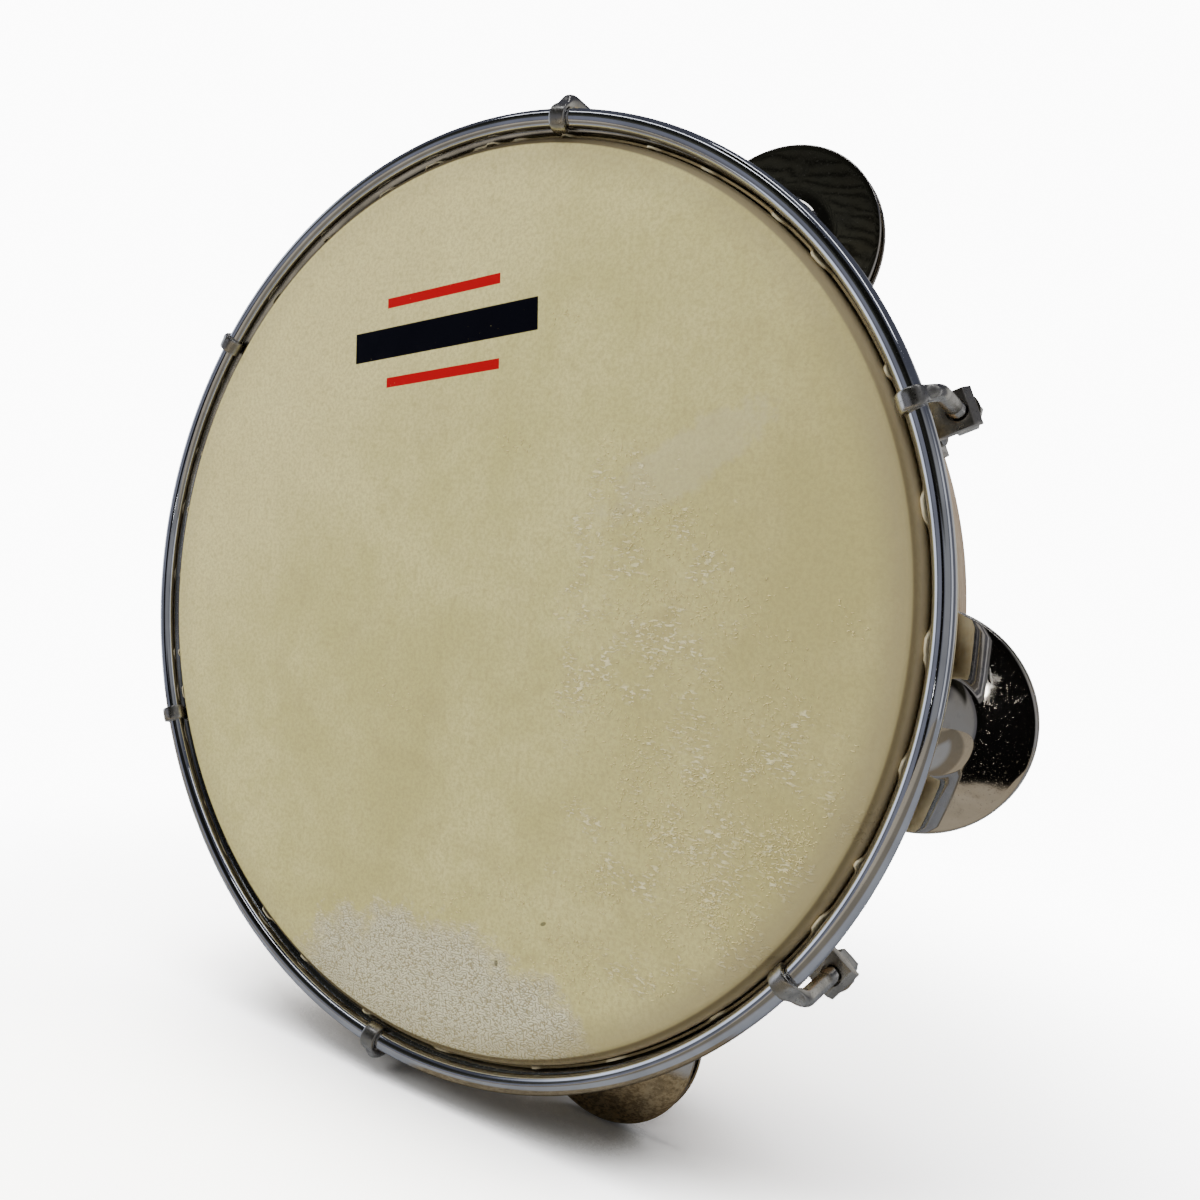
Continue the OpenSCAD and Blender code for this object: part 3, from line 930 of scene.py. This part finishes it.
def lug_outline(inner):
    """Side view of a lug, from the shell's surface outwards along the leg and back down the base."""
    front, thick, end = lug_front, lug_t, lug_end
    base = shell_r + thick
    slope = 1.5 * MM
    round_in, round_out = 1.2 * MM, 1.2 * MM
    outline = [(inner, front), (end - slope - 0.4 * MM, front)]
    outline += arc(end - slope - 0.5 * MM, front + 0.9 * MM, 0.9 * MM, 280, 312, 3)
    outline += [(end - 0.2 * MM, front + slope - 0.1 * MM), (end, front + slope + 0.2 * MM)]
    outline += arc(end - 0.4 * MM, front + thick - 0.4 * MM, 0.4 * MM, 0, 90, 4)
    outline += arc(base + round_in, front + thick + round_in, round_in, 270, 180, 6)
    outline += arc(base - round_out, lug_back - round_out, round_out, 0, 90, 6)
    outline.append((inner, lug_back))
    return outline


def make_lug(k, material):
    """An L-shaped bracket whose base follows the curve of the shell."""
    shank_hole, screw_hole = 2.6 * MM, 2.15 * MM
    rings = []
    for step in range(13):
        t = lug_half_w * (step / 6 - 1)
        inner = sqrt((shell_r + 0.05 * MM) ** 2 - t * t)
        rings.append([(r, y, t) for r, y in lug_outline(inner)])
    lug = loft(f"lug_{k}_cast", rings, material)
    leg_hole = Matrix.Translation((shank_r, 0, 0)) @ x_to_y
    base_hole = Matrix.Translation((0, screw_y, 0))
    cut(lug, [bar_cutter(leg_hole, shank_hole, lug_front - MM, lug_front + 4 * MM),
              bar_cutter(base_hole, screw_hole, shell_r - 2 * MM, shell_r + 5 * MM)])
    bevel(lug, 0.4 * MM, 3, 42)
    bake_modifiers(lug)
    put(lug, around(hook_angles[k - 1]))
    return finish(lug, 40, "lug_nickel", "shell", f"lug_{k}")


def hex_nut(name, flats, thickness, bore, material):
    """A hexagon nut on the Y axis from depth 0, with turned corners and a threaded bore."""
    half = flats / 2
    corner = half / cos(radians(30))
    rows = 9
    face = half * 0.96
    profile = [(face, 0.0)] + [(corner, thickness * k / rows) for k in range(rows + 1)] + [(face, thickness)]
    steps = int(thickness / thread_pitch * 6)
    profile += [(bore, thickness * (1 - k / steps)) for k in range(steps + 1)]

    def shape(r, y, angle):
        if r == corner:
            within = (angle + pi / 6) % (pi / 3) - pi / 6
            flat = half / cos(pi / 6 - abs(within))
            turned = face + min(y, thickness - y) * 1.9
            return min(flat, turned), y
        if r == bore and 0 < y < thickness:
            return bore + 0.18 * MM * saw(y / thread_pitch + angle / (2 * pi)), y
        return r, y

    return lathe(name, profile, material, 96, shape)


def make_tension_nut(k, material):
    """The hexagon nut that pulls a hook back against its lug."""
    flats, bore = 8 * MM, 2.05 * MM
    node = f"tension_nut_{k}"
    nut = hex_nut(f"{node}_turned", flats, extent(node, 1), bore, material)
    put(nut, beside(hook_angles[k - 1], shank_r, front_of(node)))
    return finish(nut, 28, "fastener_steel", f"nut_{k}", node)


def join(name, parts):
    """Several meshes as one piece with loose parts."""
    bm = bmesh.new()
    for part in parts:
        bm.from_mesh(part.data)
    mesh = bpy.data.meshes.new(name)
    bm.to_mesh(mesh)
    bm.free()
    mesh.materials.append(parts[0].data.materials[0])
    for part in parts:
        bpy.data.objects.remove(part)
    return link(name, mesh)


def on_x_axis(angle, x, y):
    """Carries a piece turned about the Y axis to one whose axis points outwards from the drum."""
    return beside(angle, x, y) @ Matrix.Rotation(radians(-90), 4, "Z")


def block_cutter(low, high):
    """A block between two corners."""
    outline = [(low[0], low[1]), (high[0], low[1]), (high[0], high[1]), (low[0], high[1])]
    return loft("block_cutter", [[(x, y, z) for x, y in outline] for z in (low[2], high[2])], None)


def screw_profile(length, shank, head, head_t):
    """Half section of a pan-head screw: (radius, height over the seat of its head)."""
    axis, start, threads = 0.05 * MM, -length + 0.5 * MM, 60
    low = 0.25 * MM
    profile = [(axis, -length), (shank - 0.5 * MM, -length), (shank - 0.05 * MM, start)]
    profile += [(shank, start + (length - 2.5 * MM) * k / threads) for k in range(1, threads)]
    profile += [(shank, -0.3 * MM), (shank, 0.02 * MM), (head - 0.2 * MM, 0.02 * MM), (head, low)]
    for angle in (18, 36, 52, 66, 78):
        a = radians(angle)
        profile.append((head * cos(a), low + (head_t - low) * sin(a)))
    return profile + [(axis, head_t)]


def make_lug_screws(material):
    """Pan-head screws through the lugs and the wall, slotted and threaded."""
    head_x = shell_r + lug_t + 0.05 * MM
    shank, head, head_t = 1.95 * MM, 3.5 * MM, 2 * MM
    profile = screw_profile(head_x - screw_inner_r, shank, head, head_t)
    slot_half_t, slot_reach, slot_floor, slot_top = 0.5 * MM, 5 * MM, 1.1 * MM, 3 * MM

    def shape(r, y, angle):
        if r == shank and y < -3 * MM:
            return shank - 0.28 * MM * (1 - saw(y / thread_pitch - angle / (2 * pi))), y
        return r, y

    screws = []
    for angle in hook_angles:
        screw = lathe("screw", profile, material, 36, shape)
        slot = block_cutter((-slot_reach, slot_floor, -slot_half_t), (slot_reach, slot_top, slot_half_t))
        cut(screw, [slot])
        screws.append(put(screw, on_x_axis(angle, head_x, screw_y)))
    return finish(join("lug_screws_slotted", screws), 35, "fastener_steel", "shell", "lug_screws")


def make_inner_nuts(material):
    """Nuts of the lug screws, inside the shell."""
    flats, thickness, bore = 7 * MM, 3.2 * MM, 2.0 * MM
    outer_x = shell_r - shell_wall - 0.97 * MM
    nuts = []
    for k, angle in enumerate(hook_angles):
        nut = hex_nut("nut", flats, thickness, bore, material)
        put(nut, Matrix.Rotation(0.3 + 1.7 * k, 4, "Y"))
        nuts.append(put(nut, on_x_axis(angle, outer_x - thickness, screw_y)))
    return finish(join("lug_screw_nuts_turned", nuts), 28, "fastener_steel", "shell", "lug_screw_nuts")


def make_washer(outer, material):
    """Stamped washer on the Y axis from depth 0: one edge rounded over, the other nearly sharp."""
    soft, nick = 0.25 * MM, 0.05 * MM
    profile = [(washer_bore, 0), (outer - nick, 0), (outer, nick), (outer, washer_t - soft)]
    profile += arc(outer - soft, washer_t - soft, soft, 0, 90, 4)
    profile += [(washer_bore + 2 * nick, washer_t), (washer_bore, washer_t - 2 * nick)]
    return lathe("washer", profile, material, 72)


def make_washers(material, steel):
    """Washers under the tension nuts, and those of the lug screws inside the shell."""
    outer_y = front_of("tension_washers")
    outer = [put(make_washer(4.75 * MM, material), beside(angle, shank_r, outer_y)) for angle in hook_angles]
    finish(join("tension_washers_stamped", outer), 40, "lug_nickel", "shell", "tension_washers")
    inner_x = shell_r - shell_wall - 0.92 * MM
    inner = [put(make_washer(4.5 * MM, steel), on_x_axis(angle, inner_x, screw_y)) for angle in hook_angles]
    piece = join("lug_screw_washers_stamped", inner)
    return finish(piece, 40, "fastener_steel", "shell", "lug_screw_washers")


# -------------------- jingles

def jingle_loop():
    """Section of a cupped jingle: (distance from the pin, height), cup towards positive height."""
    foot, height, fillet, edge_half = 12.5 * MM, 6 * MM, 3 * MM, disc_t / 2
    ball = (foot ** 2 + (height - disc_t) ** 2) / (2 * (height - disc_t))
    centre = height - ball
    fillet_top = centre + sqrt(ball ** 2 - (foot - fillet) ** 2)

    def top(r):
        """Outer surface: the cup's ball, eased into the flat brim."""
        if r > foot + fillet:
            return disc_t
        if r < foot - fillet:
            return centre + sqrt(ball ** 2 - r * r)
        t = (r - foot + fillet) / (2 * fillet)
        return disc_t + (fillet_top - disc_t) * (1 - t) ** 2

    steps = [disc_hole + (foot + fillet - disc_hole) * k / 22 for k in range(23)]
    steps += [foot + fillet + (jingle_rim - edge_half - foot - fillet) * k / 10 for k in range(1, 11)]
    upper = [(r, top(r)) for r in steps]
    edge = arc(jingle_rim - edge_half, edge_half, edge_half, 75, -75, 6)
    lower = [(r, max(top(r) - disc_t * (1.12 if disc_hole < r < foot else 1.0), 0)) for r in reversed(steps)]
    return upper + edge + lower


def dented(seed, amount):
    """Bends a disc slightly, so that its mirror is not perfect."""
    cell = 9 * MM

    def shape(r, y, angle):
        p = Vector((r * cos(angle) / cell, r * sin(angle) / cell, seed * 7.3))
        soft = noise.noise(p * 0.8) + 0.3 * noise.noise(p * 2.1)
        return r, y + amount * soft * min(r / jingle_rim, 1)

    return shape


def place_disc(obj, angle, y, facing):
    """Puts a disc made about the Y axis on its pin. facing -1 turns its cup to the head."""
    turn = Matrix.Rotation(pi, 4, "X") if facing < 0 else Matrix.Identity(4)
    return put(obj, beside(angle, pin_r, y) @ turn)


def damper_loop(rim):
    """Section of the flat disc between two jingles, with a rounded rim."""
    soft, half = 0.25 * MM, disc_t / 2
    steps = [disc_hole + (rim - disc_hole - 0.4 * MM) * t / 8 for t in range(9)]
    edge = arc(rim - soft, -half + soft, soft, -70, 0, 3) + arc(rim - soft, half - soft, soft, 0, 70, 3)
    return [(r, -half) for r in steps] + edge + [(r, half) for r in reversed(steps)]


def pin_loop(front, back):
    """Section of a drawn pin: a blunt point at its front and a chamfer at its back."""
    axis = 0.02 * MM
    return [(axis, front), (pin_half * 0.5, front), (pin_half, front + 1.6 * MM),
            (pin_half, back - 0.5 * MM), (pin_half - 0.4 * MM, back), (axis, back)]


def make_jingle_set(k, plate, damper_steel, steel):
    """Two cupped jingles back to back, the flat disc between them and the pin they slide on."""
    angle = set_angles[k - 1]
    for part, facing in (("front", -1), ("back", 1)):
        node = f"jingle_{part}_{k}"
        disc = lathe(f"{node}_spun", jingle_loop(), plate, 180, dented(k + 0.5 * facing, 0.02 * MM))
        place_disc(disc, angle, slot_mid + facing * (disc_t / 2 + disc_gap), facing)
        finish(disc, 50, "jingle", node, node)

    node = f"jingle_damper_{k}"
    loop = damper_loop(extent("jingle_damper_3", 0) / 2)
    disc = lathe(f"{node}_flat", loop, damper_steel, 144, dented(k * 3.1, 0.05 * MM))
    place_disc(disc, angle, slot_mid, 1)
    finish(disc, 40, "damper", node, node)

    low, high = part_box(f"jingle_pin_{k}")
    pin = lathe(f"jingle_pin_{k}_drawn", pin_loop(low.y, high.y), steel, 36)
    put(pin, beside(angle, pin_r, 0))
    return finish(pin, 30, "fastener_steel", f"pin_{k}", f"jingle_pin_{k}")


# -------------------- build

skin = skin_material()
hair = Material("hair", roughness=0.6)
hair.set(Base_Color=hair.mix(hair.noise(300), (0.84, 0.75, 0.40), (0.72, 0.62, 0.29)), Specular_IOR_Level=0.1)
wood = wood_material()
rod_chrome = chrome_material("rod_chrome", (0.76, 0.77, 0.80), 0.05, 0.006 * MM, 0.2)
band_chrome = chrome_material("band_chrome", (0.60, 0.60, 0.59), 0.14, 0.006 * MM, 0.4)
hook_nickel = nickel_material("hook_nickel", (0.60, 0.575, 0.52), 0.19)
lug_nickel = nickel_material("lug_nickel", (0.53, 0.50, 0.44), 0.21)
steel = nickel_material("fastener_steel", (0.56, 0.55, 0.52), 0.30, 0.01 * MM)
plate = jingle_material("jingle_plate", (0.66, 0.63, 0.58), 0.03)
damper_steel = jingle_material("damper_steel", (0.55, 0.53, 0.49), 0.22)

make_skin(skin)
make_stubble(hair.material)
make_shell(wood)
make_hoop(rod_chrome, band_chrome)
frame["nodes"]["flesh_hoop"].data.materials.clear()
frame["nodes"]["flesh_hoop"].data.materials.append(steel)
for k in range(1, HOOKS + 1):
    make_hook(k, hook_nickel)
    make_lug(k, lug_nickel)
    make_tension_nut(k, steel)
make_lug_screws(steel)
make_inner_nuts(steel)
make_washers(lug_nickel, steel)
for k in range(1, SETS + 1):
    make_jingle_set(k, plate, damper_steel, steel)


# -------------------- stage

def make_floor():
    """White paper under the lowest lug and jingle. It fades into the backdrop with distance.

    Polished metal sees a beige table top that ends 0.7 m away, darker and then blue-grey near the drum."""
    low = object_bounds()[0].z - 0.2 * MM
    m = Material("floor")
    x, y, _ = m.split()
    far = m.length(x, y)
    rays = m.add("ShaderNodeLightPath").outputs
    # The paper's colour drops where the drum shuts out the sky: a painted contact shadow.
    open_sky = m.add("ShaderNodeAmbientOcclusion", {"Distance": 0.09}).outputs["AO"]
    lit = m.mix(m.ramp(open_sky, 0.30, 0.95), (0.5, 0.5, 0.5), (5.5, 5.5, 5.5))
    paper = m.out("ShaderNodeBsdfDiffuse", {"Color": lit})
    white = m.out("ShaderNodeBsdfDiffuse", {"Color": (0.62, 0.60, 0.56)})
    worn = m.mix(m.noise(26, 4, 0.7), (0.36, 0.325, 0.265), (0.23, 0.20, 0.155))
    sandy = m.mix(m.ramp(m.noise(700, 3, 0.7), 0.40, 0.60), (0.24, 0.20, 0.13), (0.12, 0.095, 0.06))
    worn = m.mix(m.ramp(y, -0.34, -0.24), worn, (0.15, 0.135, 0.11))
    worn = m.mix(m.ramp(y, -0.11, -0.06), worn, (0.25, 0.263, 0.29))
    by_jingle = m.times(m.below(m.apart(x, 0.05), 0.050, 0.060), m.below(m.apart(y, 0.010), 0.022, 0.030))
    worn = m.mix(by_jingle, worn, sandy)
    beige = m.out("ShaderNodeBsdfDiffuse", {"Color": worn})
    clear = m.out("ShaderNodeBsdfTransparent")
    table = m.choose(m.ramp(far, 0.66, 0.70), beige, clear)
    seen = m.choose(m.ramp(far, 0.16, 0.40), paper, clear)
    other = m.choose(rays["Is Glossy Ray"], white, table)
    both = m.choose(rays["Is Camera Ray"], other, seen)
    m.tree.links.new(both, m.tree.nodes["Material Output"].inputs[0])
    size = 1.6
    verts = [(-size, -size, low), (size, -size, low), (size, size, low), (-size, size, low)]
    new_object("floor", verts, [(0, 1, 2, 3)], m.material)


def area_light(name, place, size, power, colour=(1, 1, 1), size_y=None,
               target=(0, 0, 0), turn=0, mirrored=True):
    """A rectangular lamp aimed at a target. Metal mirrors it only where it is mirrored."""
    data = bpy.data.lights.new(name, "AREA")
    data.shape = "RECTANGLE"
    data.size = size
    data.size_y = size_y or size
    data.energy = power
    data.color = colour
    light = link(name, data)
    light.location = place
    aim = (Vector(target) - Vector(place)).to_track_quat("-Z", "Y")
    light.rotation_euler = (aim.to_matrix() @ Matrix.Rotation(radians(turn), 3, "Z")).to_euler()
    light.visible_glossy = mirrored


def make_world():
    """White to the camera, a soft dome to dull surfaces, a dark room with grey walls to polished metal."""
    world = bpy.data.worlds.new("studio")
    bpy.context.scene.world = world
    world.use_nodes = True
    world.node_tree.nodes.clear()
    w = Shader(world.node_tree, "Generated")
    x, y, z = w.split()
    front = w.times(y, -1.0)
    azimuth = w.times(w.math("ARCTAN2", x, front), 180 / pi)
    flat = w.length(x, y)
    height = w.times(w.math("ARCTAN2", z, flat), 180 / pi)

    def window(value, start, end, soft):
        """1 between start and end, 0 outside, with soft edges."""
        return w.times(w.ramp(value, start - soft, start + soft), w.below(value, end - soft, end + soft))

    wall = (0.14, 0.145, 0.17)
    for start, end, soft, colour in ((-50, -17, 4, (0.20, 0.21, 0.26)), (-104, -66, 3, (1.1, 1.2, 1.45)),
                                     (14, 66, 6, (0.26, 0.265, 0.28)), (78, 96, 3, (0.70, 0.72, 0.78))):
        wall = w.mix(window(azimuth, start, end, soft), wall, colour)
    wall = w.mix(w.ramp(w.math("ABSOLUTE", azimuth), 125, 140), wall, (0.55, 0.55, 0.55))
    wall = w.mix(w.ramp(height, 24, 40), wall, (0.075, 0.080, 0.105))
    bands = w.add("ShaderNodeTexWave", {"Vector": w.place, "Scale": 34.0, "Distortion": 20.0, "Detail": 1.0,
                                        "Detail Scale": 0.14}, bands_direction="Z").outputs[1]
    near = w.times(w.ramp(height, 17, 27, 1.0, 0.20), w.ramp(azimuth, -26, -12, 1.0, 0.25))
    lit = w.mix(near, (0.006, 0.006, 0.005), (0.085, 0.088, 0.072))
    boards = w.mix(w.ramp(bands, 0.05, 0.40), (0.001, 0.001, 0.001), lit)
    dark_high = w.times(window(azimuth, -58, 30, 8), window(height, 11, 46, 2.5))
    room = w.mix(dark_high, wall, boards)
    gap = w.mix(w.ramp(height, 10, 13), (0.004, 0.004, 0.004), boards)
    room = w.mix(window(azimuth, -17, 6, 1.5), room, gap)
    room = w.mix(w.below(height, -25, -12), room, (0.13, 0.12, 0.10))

    dome = w.mix(w.ramp(x, -0.9, 0.7), (0.62, 0.62, 0.62), (0.26, 0.26, 0.27))
    rays = w.add("ShaderNodeLightPath").outputs
    to_metal = w.out("ShaderNodeBackground", {"Color": room})
    to_dull = w.out("ShaderNodeBackground", {"Color": dome})
    to_camera = w.out("ShaderNodeBackground", {"Color": (1, 1, 1), "Strength": 11.5})
    other = w.choose(rays["Is Glossy Ray"], to_dull, to_metal)
    both = w.choose(rays["Is Camera Ray"], other, to_camera)
    w.add("ShaderNodeOutputWorld", {"Surface": both})


def make_camera():
    """Stands close to the drum, to the right of its axis and a little above its centre."""
    off_axis, distance, height = radians(39.96), 0.27369, 5.14 * MM
    heading, pitch, roll = radians(31.54), radians(-0.64), radians(5.44)
    data = bpy.data.cameras.new("camera")
    data.sensor_width = 36
    data.lens = 28.907
    data.clip_start = 0.01
    camera = link("camera", data)
    camera.location = (distance * sin(off_axis), -distance * cos(off_axis), height)
    turn = Matrix.Rotation(heading, 4, "Z") @ Matrix.Rotation(pi / 2 + pitch, 4, "X")
    camera.rotation_euler = (turn @ Matrix.Rotation(roll, 4, "Z")).to_euler()
    bpy.context.scene.camera = camera


make_floor()
make_world()
area_light("key", (-0.95, -0.85, 0.75), 0.6, 14, (1.0, 0.98, 0.95), mirrored=False)
area_light("overhead", (-0.1, -0.30, 1.0), 0.6, 8, mirrored=False)
area_light("tube_1", (-0.25, -0.55, 1.0), 0.9, 0.9, (0.92, 0.95, 1.0), 0.08)
area_light("tube_2", (0.35, -0.20, 1.0), 0.08, 0.9, (0.92, 0.95, 1.0), 0.9)
area_light("glint", (0.0, -0.764, -0.066), 0.026, 0.012, size_y=0.008, turn=45,
           target=(0.136, 0.0226, -0.011))
area_light("back", (0.5, 0.8, 0.45), 0.5, 4, mirrored=False)
make_camera()
